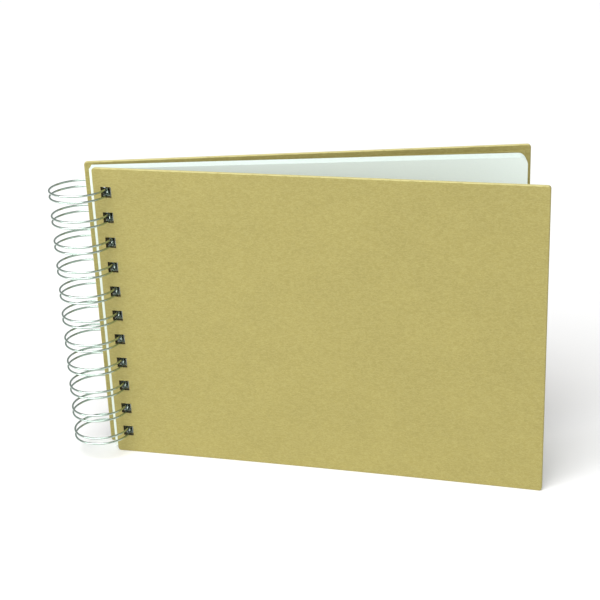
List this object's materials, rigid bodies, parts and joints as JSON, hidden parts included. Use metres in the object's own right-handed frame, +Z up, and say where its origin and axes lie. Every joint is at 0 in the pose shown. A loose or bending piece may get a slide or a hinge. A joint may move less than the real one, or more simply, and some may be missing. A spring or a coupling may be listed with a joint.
{
  "type": "sketchbook",
  "caption": "Landscape twin-loop-wire sketchbook with kraft-covered boards and rounded-corner leaves, standing upright and slightly open.",
  "frame": {"origin": "centre of the footprint's box, on the surface the book stands on", "axes": "+X from the spine to the fore-edge, +Y from the front of the book to its rear cover, +Z up"},
  "size_m": [0.2326, 0.0748, 0.1505],
  "materials": {
    "greyboard": "matt recycled greyboard, bare in the punched holes",
    "kraft_paper": "matt kraft paper, fine fibre mottling",
    "kraft_liner": "matt kraft paper",
    "drawing_paper": "matt cartridge paper, cool white",
    "binding_wire": "drawn wire, silver satin"
  },
  "bodies": {
    "rear_cover": {"rear_cover_board": "greyboard", "rear_cover_wrap": "kraft_paper", "rear_cover_liner": "kraft_liner"},
    "rear_leaves": {"leaf_21": "drawing_paper", "leaf_22": "drawing_paper", "leaf_23": "drawing_paper", "leaf_24": "drawing_paper", "leaf_25": "drawing_paper", "leaf_26": "drawing_paper", "leaf_27": "drawing_paper", "leaf_28": "drawing_paper", "leaf_29": "drawing_paper", "leaf_30": "drawing_paper", "leaf_31": "drawing_paper", "leaf_32": "drawing_paper", "leaf_33": "drawing_paper", "leaf_34": "drawing_paper", "leaf_35": "drawing_paper", "leaf_36": "drawing_paper", "leaf_37": "drawing_paper", "leaf_38": "drawing_paper", "leaf_39": "drawing_paper", "leaf_40": "drawing_paper"},
    "front_leaves": {"leaf_01": "drawing_paper", "leaf_02": "drawing_paper", "leaf_03": "drawing_paper", "leaf_04": "drawing_paper", "leaf_05": "drawing_paper", "leaf_06": "drawing_paper", "leaf_07": "drawing_paper", "leaf_08": "drawing_paper", "leaf_09": "drawing_paper", "leaf_10": "drawing_paper", "leaf_11": "drawing_paper", "leaf_12": "drawing_paper", "leaf_13": "drawing_paper", "leaf_14": "drawing_paper", "leaf_15": "drawing_paper", "leaf_16": "drawing_paper", "leaf_17": "drawing_paper", "leaf_18": "drawing_paper", "leaf_19": "drawing_paper", "leaf_20": "drawing_paper"},
    "wire": {"binding_wire": "binding_wire"},
    "front_cover": {"front_cover_board": "greyboard", "front_cover_wrap": "kraft_paper", "front_cover_liner": "kraft_liner"}
  },
  "joints": [
    {"name": "rear_leaves_turn", "type": "hinge", "parent": "rear_cover", "child": "rear_leaves", "pos_m": [-0.10185, 0.02291, 0.07525], "axis": [0, 0, -1], "range_deg": [-2.4, 50]},
    {"name": "front_leaves_turn", "type": "hinge", "parent": "rear_leaves", "child": "front_leaves", "pos_m": [-0.10185, 0.02291, 0.07525], "axis": [0, 0, -1], "range_deg": [0, 80]},
    {"name": "wire_turn", "type": "hinge", "parent": "front_leaves", "child": "wire", "pos_m": [-0.10185, 0.02291, 0.07525], "axis": [0, 0, -1], "range_deg": [0, 130]},
    {"name": "front_cover_tilt", "type": "hinge", "parent": "wire", "child": "front_cover", "pos_m": [-0.08802, 0.02074, 0.07525], "axis": [0, 0, -1], "range_deg": [-12.9, 0]}
  ]
}
